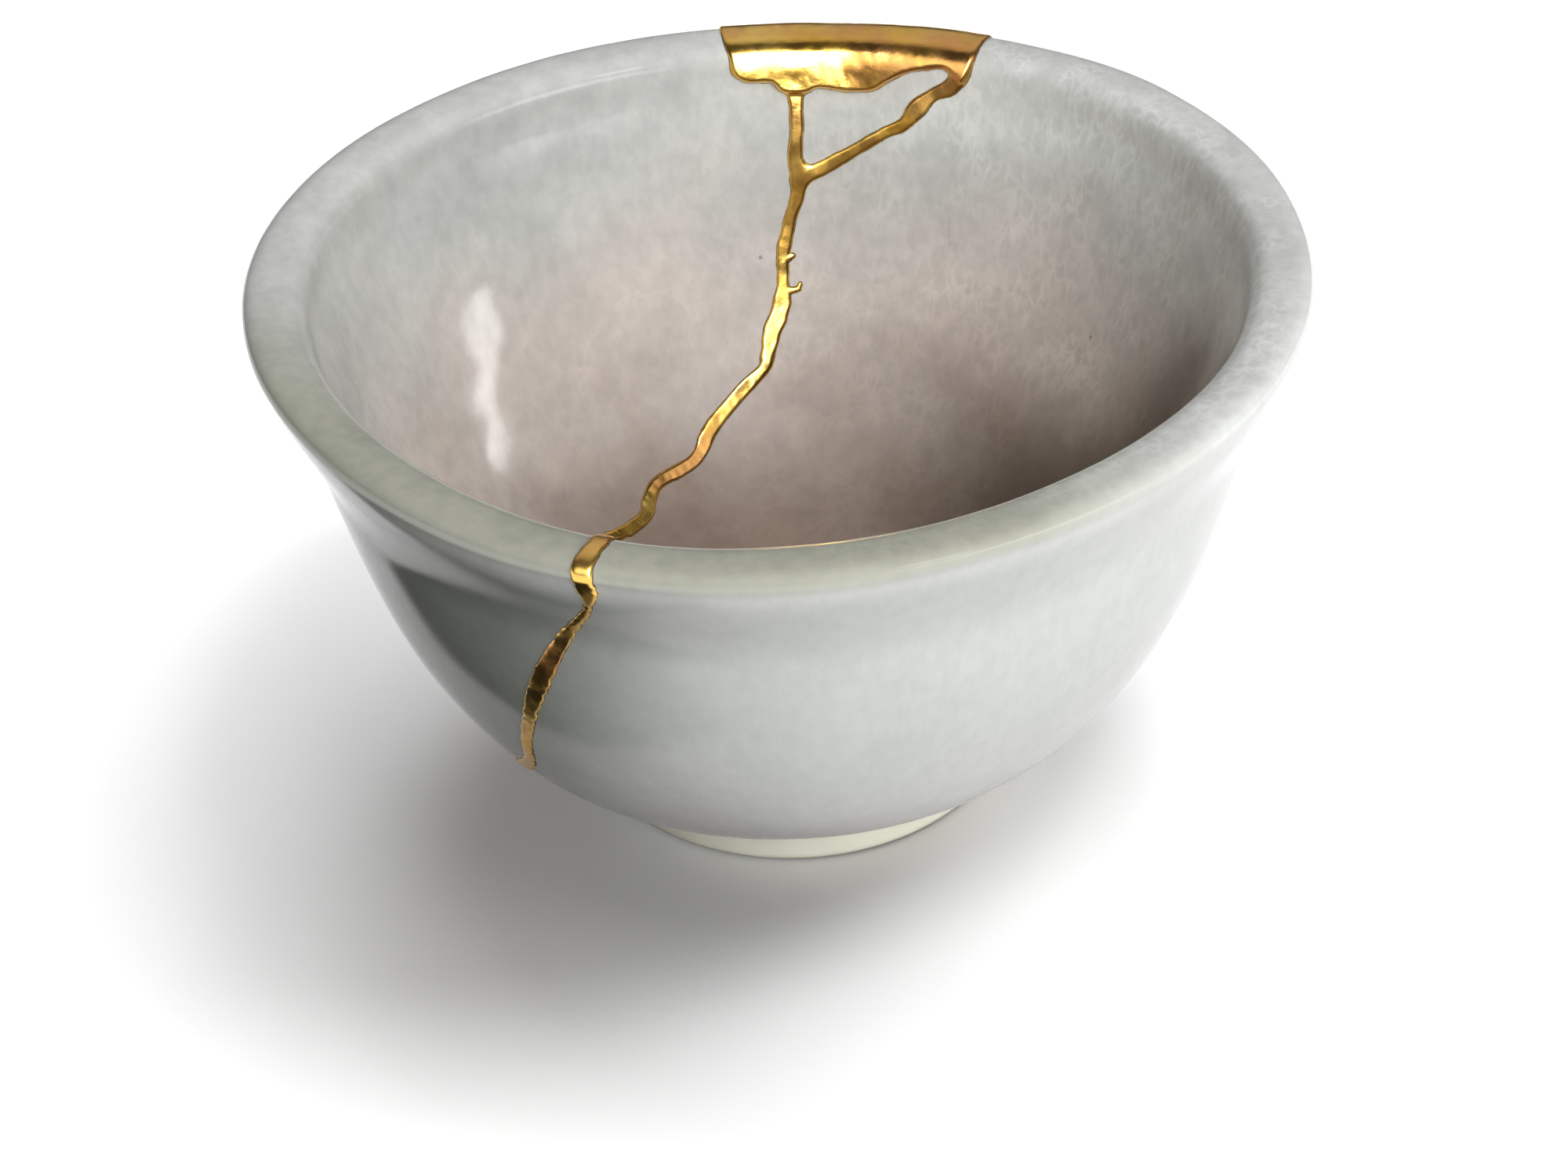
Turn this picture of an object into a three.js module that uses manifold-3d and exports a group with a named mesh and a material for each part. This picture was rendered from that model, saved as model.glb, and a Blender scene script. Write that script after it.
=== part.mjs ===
// A hand-thrown stoneware tea bowl that broke into three sherds and lost a chip of its rim, and was
// mended with gold: the seams between the sherds and the missing chip are filled with gilded lacquer.
//
// Millimetres, +Z up. The origin is the middle of the rim's round, at the height of the surface
// that the bowl's foot stands on. Directions round the bowl are degrees from +X towards +Y.

import * as THREE from 'three';
import { mergeVertices } from 'three/addons/utils/BufferGeometryUtils.js';
import Module from 'manifold-3d';

const wasm = await Module();
wasm.setup();

// The bowl's section: each corner is [distance from the axis, height].
const HEIGHT = 67;
const RIM_RADIUS = 60;
const FOOT_RADIUS = 26.8;
const FOOT_RING_WIDTH = 4.4;
const RECESS_DEPTH = 5.2;
const RECESS_DOME = 0.6; // how much the recess rises towards its middle
const RECESS_CORNER = { width: 1, height: 1 };
const FOOT_TAPER = 0.2; // how much the foot ring narrows towards its edge
const FOOT_SIDE_TOP = 5;
const EDGE_SOFTENING = 0.5;
const FLOOR_HEIGHT = 9.5;
const FOOT_TOP = [27.2, 6.8];
const BELLY = [44, 20.2];
const NECK = [55, 52];
const LIP_EDGE = [RIM_RADIUS, HEIGHT - 1.6];
const LIP_TOP_OUTER = [RIM_RADIUS - 1.8, HEIGHT];
const LIP_TOP_INNER = [RIM_RADIUS - 4.2, HEIGHT - 0.1];
const LIP_INSIDE = [52.2, HEIGHT - 6.6];
const INNER_NECK = [50.4, 54];
const INNER_BELLY = [37.9, 22.5];
const FLOOR = [0, FLOOR_HEIGHT];

// The section's slope in degrees where two of its curves meet.
const SLOPE = {
  footTop: 30, belly: 55, neck: 80, lipEdge: 76, lipOver: 178, lipInner: 186,
  lipInside: 252, innerNeck: 257, innerBelly: 237, floor: 180,
};

// The middle of the wall's thickness, from the middle of the floor to the lip.
const MIDDLE_OF_FLOOR = [0, 7.2];
const MIDDLE_OF_BELLY = [40.8, 21.2];
const MIDDLE_OF_NECK = [52.7, 52.8];
const MIDDLE_OF_LIP = [57.4, HEIGHT];
const MIDDLE_SLOPE = { belly: 53, neck: 80, lip: 60 };
const FLOOR_SWEEP = 0.4; // how far the floor's curves run on before they turn up, as a share

// Throwing by hand leaves the round a little uneven: [waves round the bowl, swing, direction].
const RIM_WOBBLE = [[1, 0.85, 90], [2, 0.3, 32], [3, 0.75, 26], [4, 0.2, -25], [5, 0.2, -30]];
const BELLY_WOBBLE = [[1, 0.95, 48], [2, 1.1, 77]];
const WOBBLE_HEIGHTS = { foot: 4, belly: 24, wall: 36, rim: 66 };
const STEADY_RADIUS = 20; // the unevenness dies away inside this distance from the axis

// The breaks: [direction, distance from the middle of the floor along the wall, seam width].
const ABOVE_THE_LIP = 100;
const MAIN_BREAK = [
  [86.3, 90, 2.0], [86, 82, 1.7], [86.4, 78.5, 1.8], [85.9, 76, 2.3], [86.2, 73, 1.7],
  [87.5, 69, 1.5], [88.6, 65, 1.7], [88.9, 61.5, 1.3], [89.2, 57.5, 2.2], [91, 53.7, 2.3],
  [92, 50.5, 1.7], [93, 48.6, 1.6], [97, 46, 1.7], [101, 43.6, 1.8], [105.5, 40.8, 1.9],
  [109, 38, 1.8], [114, 36.9, 1.7], [120, 36.4, 1.8], [123.5, 34.8, 1.9], [126.5, 33, 1.8],
  [133, 32.4, 1.7], [141, 33, 1.6], [150, 31.4, 1.6], [161, 32.6, 1.8], [173, 31.5, 1.5],
  [186, 32.8, 1.7], [198, 34, 1.6], [208, 37.6, 1.7], [216, 40.6, 1.5], [223, 45.4, 1.7],
  [230.5, 52, 1.3], [233.5, 58, 1.2], [237.6, 66.4, 1.5], [240, 71.2, 1.9], [243, 76.8, 1.7],
  [246, 81.8, 1.1], [248.6, 86, 0.9], [250, 89.2, 0.7], [250.4, 93, 1.9], [249.5, ABOVE_THE_LIP, 1.6],
];
const BRANCH_BREAK = [
  [85.9, 75, 2.0], [82.5, 76.5, 1.9], [78.6, 78.6, 1.6], [73.5, 81.6, 1.4], [70.4, 83.2, 1.5],
  [68.8, 85.2, 2.3], [66.6, 87.2, 1.5], [64.2, 88.4, 1.9], [62.8, 90.4, 1.8],
];
const LOST_CHIP = [
  [95.8, ABOVE_THE_LIP], [95.8, 94.3], [95.3, 91.4], [95, 89.5], [94.1, 88.5], [92.4, 87.9],
  [89.6, 87.8], [88, 86.5], [84.6, 86.3], [82.6, 87], [79, 86.6], [75.4, 86.8], [73.2, 88],
  [70.9, 89.2], [67.6, 90], [65.4, 90.3], [63.7, 89.6], [62.5, 88.8], [61.5, 90.4],
  [61.2, 92], [61.6, 94.4], [61.6, ABOVE_THE_LIP],
];

const GOLD_PROUD = 0.4; // how far the gold stands above the glaze
const JOINT_GAP = 0.3; // clearance between two solids
const CUT_INSIDE = 7; // how far a cut reaches to each side of the middle of the wall
const CUT_OUTSIDE = 11;
const ROUND_STEPS = 64;
const CHIP_STEP = 6; // degrees between points along the straight top of the chip's outline
const SLOPE_STEP = 0.25; // distance over which the wall's direction is taken
const WELD_DISTANCE = 1e-4;
const TINY = 1e-6;

const radians = THREE.MathUtils.degToRad;

/** The curve between two corners of the section, with its slope at each end in degrees. */
function sweep(from, to, leaving, arriving, handle = 1 / 3) {
  const start = new THREE.Vector2(...from);
  const end = new THREE.Vector2(...to);
  const reach = start.distanceTo(end) * handle;
  const lean = (slope) => new THREE.Vector2(reach, 0).rotateAround(new THREE.Vector2(), radians(slope));
  const leave = start.clone().add(lean(leaving));
  const arrive = end.clone().sub(lean(arriving));
  return new THREE.CubicBezierCurve(start, leave, arrive, end);
}

/** The whole section, from the axis under the foot, up the outside, over the lip and down to the floor. */
function bowlSection() {
  const recessRadius = FOOT_RADIUS - FOOT_RING_WIDTH;
  const recessTop = RECESS_DEPTH - RECESS_DOME;
  const recessEdge = recessRadius - FOOT_TAPER;
  const foot = [
    [0, RECESS_DEPTH],
    [recessEdge - RECESS_CORNER.width, recessTop],
    [recessEdge, recessTop - RECESS_CORNER.height],
    [recessRadius, EDGE_SOFTENING],
    [recessRadius + EDGE_SOFTENING, 0],
    [FOOT_RADIUS - EDGE_SOFTENING, 0],
    [FOOT_RADIUS, EDGE_SOFTENING],
    [FOOT_RADIUS + FOOT_TAPER, FOOT_SIDE_TOP],
  ];
  const lipTurn = 0.5;
  const sweeps = [
    [sweep(FOOT_TOP, BELLY, SLOPE.footTop, SLOPE.belly), 5],
    [sweep(BELLY, NECK, SLOPE.belly, SLOPE.neck), 6],
    [sweep(NECK, LIP_EDGE, SLOPE.neck, SLOPE.lipEdge), 4],
    [sweep(LIP_EDGE, LIP_TOP_OUTER, SLOPE.neck, SLOPE.lipOver, lipTurn), 2],
    [sweep(LIP_TOP_OUTER, LIP_TOP_INNER, SLOPE.lipOver, SLOPE.lipInner), 1],
    [sweep(LIP_TOP_INNER, LIP_INSIDE, SLOPE.lipInner, SLOPE.lipInside, lipTurn), 3],
    [sweep(LIP_INSIDE, INNER_NECK, SLOPE.lipInside, SLOPE.innerNeck), 2],
    [sweep(INNER_NECK, INNER_BELLY, SLOPE.innerNeck, SLOPE.innerBelly), 7],
    [sweep(INNER_BELLY, FLOOR, SLOPE.innerBelly, SLOPE.floor, FLOOR_SWEEP), 6],
  ];
  const points = foot.map(([radius, height]) => new THREE.Vector2(radius, height));
  points.push(new THREE.Vector2(...FOOT_TOP));
  for (const [curve, steps] of sweeps) points.push(...curve.getPoints(steps).slice(1));
  return points;
}

/** Moves an outline sideways, to the right of the way it runs. */
function offsetOutline(points, distance, closed) {
  return points.map((point, i) => {
    const before = points[i - 1] ?? (closed ? points.at(-1) : point);
    const after = points[i + 1] ?? (closed ? points[0] : point);
    const along = after.clone().sub(before).normalize();
    return new THREE.Vector2(point.x + along.y * distance, point.y - along.x * distance);
  });
}

/** A closed geometry as a solid for joining and cutting. */
function toSolid(geometry) {
  const bare = geometry.clone();
  for (const name of ['normal', 'uv']) bare.deleteAttribute(name);
  const merged = mergeVertices(bare, WELD_DISTANCE);
  return new wasm.Manifold(new wasm.Mesh({
    numProp: 3,
    vertProperties: new Float32Array(merged.attributes.position.array),
    triVerts: new Uint32Array(merged.index.array),
  }));
}

/** Turns a section about the axis. */
function turned(section) {
  const onAxis = section.map((point, i) => (
    i === 0 || i === section.length - 1 ? new THREE.Vector2(0, point.y) : point
  ));
  return toSolid(new THREE.LatheGeometry(onAxis, ROUND_STEPS).rotateX(Math.PI / 2));
}

const wallMiddle = new THREE.CurvePath();
wallMiddle.add(sweep(MIDDLE_OF_FLOOR, MIDDLE_OF_BELLY, 0, MIDDLE_SLOPE.belly, FLOOR_SWEEP));
wallMiddle.add(sweep(MIDDLE_OF_BELLY, MIDDLE_OF_NECK, MIDDLE_SLOPE.belly, MIDDLE_SLOPE.neck));
wallMiddle.add(sweep(MIDDLE_OF_NECK, MIDDLE_OF_LIP, MIDDLE_SLOPE.neck, MIDDLE_SLOPE.lip));
const wallLength = wallMiddle.getLength();

/** The middle of the wall at a distance from the middle of the floor, and its direction there. */
function wallAt(distance) {
  const inside = THREE.MathUtils.clamp(distance, SLOPE_STEP, wallLength);
  const point = wallMiddle.getPoint(inside / wallLength);
  const before = wallMiddle.getPoint((inside - SLOPE_STEP) / wallLength);
  const along = point.clone().sub(before).normalize();
  return { point: point.addScaledVector(along, distance - inside), along };
}

/** Lays a flat outline of [direction, distance] points on the wall and cuts straight through it. */
function throughWall(outline) {
  const flat = new THREE.ExtrudeGeometry(new THREE.Shape(outline), {
    depth: CUT_INSIDE + CUT_OUTSIDE, bevelEnabled: false,
  });
  const place = flat.attributes.position;
  for (let i = 0; i < place.count; i++) {
    const direction = radians(place.getX(i));
    const { point, along } = wallAt(place.getY(i));
    const across = place.getZ(i) - CUT_INSIDE;
    const radius = point.x + along.y * across;
    place.setXYZ(i, radius * Math.cos(direction), radius * Math.sin(direction), point.y - along.x * across);
  }
  return toSolid(flat);
}

/** Millimetres round the bowl in one degree, at a distance along the wall. */
const perDegree = (distance) => wallAt(distance).point.x * radians(1);

/** The outline of a seam: its break widened to both sides by half the seam's width and a margin. */
function seamOutline(line, margin) {
  const sides = [[], []];
  line.forEach(([direction, distance, width], i) => {
    const [before, after] = [line[i - 1] ?? line[i], line[i + 1] ?? line[i]];
    const scale = perDegree(distance);
    const along = new THREE.Vector2((after[0] - before[0]) * scale, after[1] - before[1]).normalize();
    const half = width / 2 + margin;
    const aside = new THREE.Vector2((along.y * half) / scale, -along.x * half);
    const middle = new THREE.Vector2(direction, distance);
    sides[0].push(middle.clone().add(aside));
    sides[1].unshift(middle.sub(aside));
  });
  return sides.flat();
}

/** The outline of the lost chip, widened by a margin. */
function chipOutline(margin) {
  const scale = perDegree(LOST_CHIP[0][1]);
  const corners = LOST_CHIP.map(([direction, distance]) => new THREE.Vector2(direction * scale, distance));
  const [first, last] = [corners[0], corners.at(-1)];
  const steps = Math.round((first.x - last.x) / scale / CHIP_STEP);
  for (let i = 1; i < steps; i++) corners.push(last.clone().lerp(first, i / steps));
  return offsetOutline(corners, -margin, true).map((corner) => new THREE.Vector2(corner.x / scale, corner.y));
}

const seams = (margin) => (
  throughWall(seamOutline(MAIN_BREAK, margin)).add(throughWall(seamOutline(BRANCH_BREAK, margin)))
);
const chip = (margin) => throughWall(chipOutline(margin));

/** Leans every point out or in by the unevenness of the throwing. */
function handThrown(geometry) {
  const { foot, belly, wall, rim } = WOBBLE_HEIGHTS;
  const swing = (waves, direction) => waves.reduce((sum, [count, size, towards]) => (
    sum + size * Math.cos(count * (direction - radians(towards)))
  ), 0);
  const place = geometry.attributes.position;
  for (let i = 0; i < place.count; i++) {
    const [x, y, z] = [place.getX(i), place.getY(i), place.getZ(i)];
    const radius = Math.hypot(x, y);
    const direction = Math.atan2(y, x);
    const rimShare = THREE.MathUtils.smoothstep(z, wall, rim);
    const bellyShare = THREE.MathUtils.smoothstep(z, foot, belly) * (1 - rimShare);
    const lean = swing(RIM_WOBBLE, direction) * rimShare + swing(BELLY_WOBBLE, direction) * bellyShare;
    const scale = 1 + (lean * Math.min(radius / STEADY_RADIUS, 1)) / Math.max(radius, TINY);
    place.setXY(i, x * scale, y * scale);
  }
  return geometry;
}

/** The separate bodies in a solid, as geometries, the largest first. */
function looseBodies(solid) {
  const { vertProperties, triVerts } = solid.getMesh();
  const owner = Array.from({ length: vertProperties.length / 3 }, (_, i) => i);
  const find = (i) => {
    let root = i;
    while (owner[root] !== root) root = owner[root];
    owner[i] = root;
    return root;
  };
  for (let i = 0; i < triVerts.length; i += 3) {
    owner[find(triVerts[i + 1])] = find(triVerts[i]);
    owner[find(triVerts[i + 2])] = find(triVerts[i]);
  }
  const bodies = new Map();
  for (let i = 0; i < triVerts.length; i += 3) {
    const root = find(triVerts[i]);
    if (!bodies.has(root)) bodies.set(root, []);
    bodies.get(root).push(...triVerts.slice(i, i + 3));
  }
  return [...bodies.values()].sort((a, b) => b.length - a.length).map((corners) => {
    const geometry = new THREE.BufferGeometry();
    geometry.setAttribute('position', new THREE.BufferAttribute(new Float32Array(vertProperties), 3));
    geometry.setIndex(corners);
    return handThrown(geometry.toNonIndexed());
  });
}

const glaze = (color) => new THREE.MeshStandardMaterial({ color, roughness: 0.25, metalness: 0 });
const gold = (color) => new THREE.MeshStandardMaterial({ color, roughness: 0.3, metalness: 1 });

function named(name, geometry, material) {
  geometry.computeVertexNormals();
  const mesh = new THREE.Mesh(geometry, material);
  mesh.name = name;
  return mesh;
}

const section = bowlSection();
const bowl = turned(section);
const gilded = turned(offsetOutline(section, GOLD_PROUD, false));

const sherds = looseBodies(bowl.subtract(seams(JOINT_GAP)).subtract(chip(JOINT_GAP)));
const [rimFill] = looseBodies(gilded.intersect(chip(0)));
const [seam] = looseBodies(gilded.intersect(seams(0)).subtract(chip(JOINT_GAP)));

const teaBowl = new THREE.Group();
teaBowl.add(
  named('main_sherd', sherds[0], glaze(0xc6c8c6)),
  named('left_sherd', sherds[1], glaze(0xc3c6c1)),
  named('rim_sherd', sherds[2], glaze(0xc8cac8)),
  named('gold_rim_fill', rimFill, gold(0xc99a3c)),
  named('gold_seam', seam, gold(0xb98424)),
);

export default teaBowl;
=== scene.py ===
"""A hand-thrown stoneware tea bowl, mended with gold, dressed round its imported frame.

The bowl's wall is drawn on a map: an azimuth round the bowl and a distance along the wall. The breaks
and the lost chip are lines on that map, so the glaze inside, the glaze outside and the gold between
them all follow the same lines. Everything is in metres, in the frame's own axes.
"""

import math

import bpy
import numpy as np
from mathutils import Matrix, Vector


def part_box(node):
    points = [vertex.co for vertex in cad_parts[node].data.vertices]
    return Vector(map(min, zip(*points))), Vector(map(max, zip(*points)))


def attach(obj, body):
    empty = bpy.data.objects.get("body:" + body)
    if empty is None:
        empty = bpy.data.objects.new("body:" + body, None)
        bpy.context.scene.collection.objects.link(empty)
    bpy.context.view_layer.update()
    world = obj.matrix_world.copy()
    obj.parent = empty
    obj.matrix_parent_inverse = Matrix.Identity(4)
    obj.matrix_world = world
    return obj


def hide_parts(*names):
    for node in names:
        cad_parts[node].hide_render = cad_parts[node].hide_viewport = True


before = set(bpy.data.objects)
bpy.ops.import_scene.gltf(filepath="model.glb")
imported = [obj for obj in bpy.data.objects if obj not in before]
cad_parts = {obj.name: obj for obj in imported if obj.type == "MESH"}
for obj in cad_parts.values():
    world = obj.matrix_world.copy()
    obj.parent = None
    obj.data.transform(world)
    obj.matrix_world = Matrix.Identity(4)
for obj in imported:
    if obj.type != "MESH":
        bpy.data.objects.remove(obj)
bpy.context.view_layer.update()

MM = 0.001
TINY = 1e-12  # stands for zero in a division or a comparison
SHERDS = ("main_sherd", "left_sherd", "rim_sherd")
GILT = ("gold_rim_fill", "gold_seam")

# ---------------------------------------------------------------- the bowl's section
HEIGHT = max(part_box(name)[1].z for name in SHERDS)
RIM_RADIUS = 60 * MM
FOOT_RADIUS = 26.8 * MM
FOOT_RING_WIDTH = 4.4 * MM
RECESS_DEPTH = 5.2 * MM
FOOT_EDGE_ROUNDING = 0.9 * MM
FOOT_TOP = (27.2 * MM, 6.8 * MM)
BELLY = (44 * MM, 20.2 * MM)
NECK = (55 * MM, 52 * MM)
LIP_EDGE = (RIM_RADIUS, HEIGHT - 1.6 * MM)
LIP_TOP_OUTER = (RIM_RADIUS - 1.8 * MM, HEIGHT)
LIP_TOP_INNER = (RIM_RADIUS - 4.2 * MM, HEIGHT - 0.1 * MM)
LIP_INSIDE = (52.2 * MM, HEIGHT - 6.6 * MM)
INNER_NECK = (50.4 * MM, 54 * MM)
INNER_BELLY = (37.9 * MM, 22.5 * MM)
FLOOR = (0, 9.5 * MM)

# The section goes up the outside, over the lip and down the inside. Each curve between two corners is
# (slope where it leaves, slope where it arrives, reach of its handles where it isn't a third).
SECTION_CORNERS = (
    FOOT_TOP, BELLY, NECK, LIP_EDGE, LIP_TOP_OUTER,
    LIP_TOP_INNER, LIP_INSIDE, INNER_NECK, INNER_BELLY, FLOOR,
)
SECTION_CURVES = (
    (30, 55), (55, 80), (80, 76), (88, 175, 0.5),
    (178, 186), (186, 252, 0.5), (252, 257), (257, 237), (237, 180, 0.42),
)

# The middle of the wall's thickness, from the middle of the floor to the lip. Its curves also say how
# many parts they are drawn in.
MIDDLE_CORNERS = ((0, 7.2 * MM), (40.8 * MM, 21.2 * MM), (52.7 * MM, 52.8 * MM), (57.4 * MM, HEIGHT))
MIDDLE_CURVES = ((0, 53, 0.4, 600), (53, 80, 1 / 3, 500), (80, 60, 1 / 3, 300))
BEYOND_THE_LIP = np.linspace(0.05, 12, 240) * MM  # steps by which the middle runs straight on
WALL_FOOT = 30 * MM  # distance along the wall below which no break runs
WALL_ROWS = 1600

# Throwing by hand leaves the round a little uneven: (waves round the bowl, swing in mm, direction).
RIM_WOBBLE = ((1, 0.85, 90), (2, 0.3, 32), (3, 0.75, 26), (4, 0.2, -25), (5, 0.2, -30))
RIM_HEIGHTS = (36 * MM, 66 * MM)  # between which the rim's wobble takes over from the belly's
BELLY_WOBBLE = ((1, 0.95, 48), (2, 1.1, 77))
BELLY_HEIGHTS = (4 * MM, 24 * MM)  # between which the belly's wobble comes in
STEADY_RADIUS = 20 * MM  # inside which every wobble dies away to the middle

RING_PITCH = 9.5 * MM  # height between the finger rings that throwing leaves
RING_DEPTH = 0.035 * MM
RINGS_COME_IN = (16 * MM, 26 * MM)
RINGS_GO_OUT = (52 * MM, 60 * MM)
BROAD_SWELL = 0.1 * MM
SMALL_SWELL = 0.014 * MM
SWELLS_COME_IN = (1 * MM, 8 * MM)

# ---------------------------------------------------------------- the breaks
# Each point is (azimuth in degrees, distance along the wall in mm, width of the gold in mm).
ABOVE_THE_LIP = 100
MAIN_BREAK = (
    (86.3, 90, 2.0), (86, 82, 1.7), (86.4, 78.5, 1.8), (85.9, 76, 2.3), (86.2, 73, 1.7),
    (87.5, 69, 1.5), (88.6, 65, 1.7), (88.9, 61.5, 1.3), (89.2, 57.5, 2.2), (91, 53.7, 2.3),
    (92, 50.5, 1.7), (93, 48.6, 1.6), (97, 46, 1.7), (101, 43.6, 1.8), (105.5, 40.8, 1.9),
    (109, 38, 1.8), (114, 36.9, 1.7), (120, 36.4, 1.8), (123.5, 34.8, 1.9), (126.5, 33, 1.8),
    (133, 32.4, 1.7), (141, 33, 1.6), (150, 31.4, 1.6), (161, 32.6, 1.8), (173, 31.5, 1.5),
    (186, 32.8, 1.7), (198, 34, 1.6), (208, 37.6, 1.7), (216, 40.6, 1.5), (223, 45.4, 1.7),
    (230.5, 52, 1.3), (233.5, 58, 1.2), (237.6, 66.4, 1.5), (240, 71.2, 1.9), (243, 76.8, 1.7),
    (246, 81.8, 1.1), (248.6, 86, 0.9), (250, 89.2, 0.7), (250.4, 93, 1.9), (249.5, ABOVE_THE_LIP, 1.6),
)
BRANCH_BREAK = (
    (85.9, 75, 2.0), (82.5, 76.5, 1.9), (78.6, 78.6, 1.6), (73.5, 81.6, 1.4), (70.4, 83.2, 1.5),
    (68.8, 85.2, 2.3), (66.6, 87.2, 1.5), (64.2, 88.4, 1.9), (62.8, 90.4, 1.8),
)
LOST_CHIP = (
    (95.8, ABOVE_THE_LIP), (95.8, 94.3), (95.3, 91.4), (95, 89.5), (94.1, 88.5), (92.4, 87.9),
    (89.6, 87.8), (88, 86.5), (84.6, 86.3), (82.6, 87), (79, 86.6), (75.4, 86.8), (73.2, 88),
    (70.9, 89.2), (67.6, 90), (65.4, 90.3), (63.7, 89.6), (62.5, 88.8), (61.5, 90.4),
    (61.2, 92), (61.6, 94.4), (61.6, ABOVE_THE_LIP),
)
# Short runs of lacquer that crept into the crackle beside the seam.
THORNS = (
    ((88.9, 63.7, 1.3), (87.9, 63.9, 1.0), (87.2, 64.2, 0.6)),
    ((89.0, 59.2, 1.3), (87.6, 59.3, 0.8), (86.4, 59.5, 0.6), (86.1, 60.2, 0.35)),
)
NO_BREAKS_BELOW = 55  # degrees of azimuth between which all breaks lie
NO_BREAKS_ABOVE = 258

GOLD_PROUD = 0.3 * MM
GOLD_SPREAD = 0.16 * MM  # how far the gold runs past the widths given above, on each side
GOLD_SHOULDER = 0.55 * MM  # width over which the gold rises from its edge to full height
FILL_BULGE = 0.8 * MM  # how much thicker the fill stands low down inside than at the lip
GOLD_TUCK = 0.04 * MM  # how far the gold's underside is pressed into the glaze
GOLD_OVERLAP = 0.35 * MM  # how far the gold laps over the sherds on each side of the crack
GOLD_LUMPS = 0.05 * MM
GOLD_GRAIN = 0.012 * MM
EDGE_CREEP = 0.1 * MM
BULGE_DOWN = (2 * MM, 10 * MM)  # below the lip, between which the fill's bulge comes in
BULGE_IN = (0, 0.7 * MM)  # the same, in from the fill's edge
SEAM_CORNER = 0.8 * MM  # how far lacquer fills the corner where two seams meet
FILL_CORNER = 0.7 * MM  # the same where a seam meets the fill
CRACK_CORNER = 0.2 * MM
CRACK_HALF_WIDTH = 0.12 * MM


def sweep(start, end, leaving, arriving, handle=1 / 3, steps=80):
    """Points on the curve between two corners of the section, with its slope at each end in degrees."""
    start, end = np.array(start, float), np.array(end, float)
    reach = np.linalg.norm(end - start) * handle
    leave = start + reach * np.array([math.cos(math.radians(leaving)), math.sin(math.radians(leaving))])
    arrive = end - reach * np.array([math.cos(math.radians(arriving)), math.sin(math.radians(arriving))])
    t = np.linspace(0, 1, steps + 1)[:, None]
    return (1 - t) ** 3 * start + 3 * (1 - t) ** 2 * t * leave + 3 * (1 - t) * t * t * arrive + t ** 3 * end


def joined(*curves):
    """One line from curves that follow on from each other."""
    return np.vstack([curves[0]] + [curve[1:] for curve in curves[1:]])


def drawn(corners, curves):
    """The line through a section's corners."""
    return joined(*[sweep(start, end, *curve) for start, end, curve in zip(corners, corners[1:], curves)])


def run_along(line):
    """Distance along a line at each of its points."""
    return np.concatenate([[0], np.cumsum(np.linalg.norm(np.diff(line, axis=0), axis=1))])


def directions(line):
    """Unit direction of a line at each of its points."""
    along = np.gradient(line, run_along(line), axis=0)
    return along / np.linalg.norm(along, axis=1)[:, None]


class Wall:
    """The wall's map. Reach is the mean of the distances inside and outside, down from the lip's crest."""

    def __init__(self):
        middle = drawn(MIDDLE_CORNERS, MIDDLE_CURVES)
        self.middle = np.vstack([middle, middle[-1] + np.outer(BEYOND_THE_LIP, directions(middle)[-1])])
        self.middle_run = run_along(self.middle)
        section = drawn(SECTION_CORNERS, SECTION_CURVES)
        along = directions(section)
        rows = np.column_stack([section, along[:, 1], -along[:, 0]])
        label = self.distance_of(section)
        crest = int(np.argmax(label))
        fall = np.linspace(0, 1, WALL_ROWS) ** 2
        self.distance = label[crest] - (label[crest] - WALL_FOOT) * fall
        self.outside = self.laid_out(label[: crest + 1], rows[: crest + 1])
        self.inside = self.laid_out(label[crest:][::-1], rows[crest:][::-1])
        sides = self.outside[:, :2], self.inside[:, :2]
        steps = [np.linalg.norm(np.diff(side, axis=0), axis=1) for side in sides]
        self.reach = np.concatenate([[0], np.cumsum((steps[0] + steps[1]) / 2)])
        below = label < WALL_FOOT
        after = np.arange(len(label)) > crest
        self.floor_rows = rows[below & after]
        self.belly_rows = rows[below & ~after]

    def laid_out(self, labels, rows):
        """Section rows at the wall's own distances, from rows that each have a distance as their label."""
        return np.column_stack([np.interp(self.distance, labels, column) for column in rows.T])

    def distance_of(self, points):
        """Distance along the middle of the wall of the normal line that each point lies on."""
        along = directions(self.middle)
        out = []
        for point in points:
            nearest = int(np.argmin(((self.middle - point) ** 2).sum(1)))
            out.append(self.middle_run[nearest] + (point - self.middle[nearest]) @ along[nearest])
        return np.array(out)

    def per_degree(self, distance):
        """Metres round the bowl in one degree of azimuth, at a distance along the wall."""
        return np.interp(distance, self.middle_run, self.middle[:, 0]) * math.radians(1)

    def section_at(self, reach, inner):
        """(radius, height, normal's radius part, normal's height part) on one side of the wall."""
        side = self.inside if inner else self.outside
        return np.column_stack([np.interp(reach, self.reach, column) for column in side.T])

    def distance_at(self, reach):
        """Distance along the wall, up from the middle of the floor, at a reach below the lip's crest."""
        return np.interp(reach, self.reach, self.distance)


def smooth(x, low, high):
    """Goes smoothly from 0 to 1 as x goes from low to high."""
    t = np.clip((x - low) / (high - low), 0, 1)
    return t * t * (3 - 2 * t)


WAVE_SPREAD = (0.75, 1.6)  # a swell's shortest and longest waves, as shares of its wavelength


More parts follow.
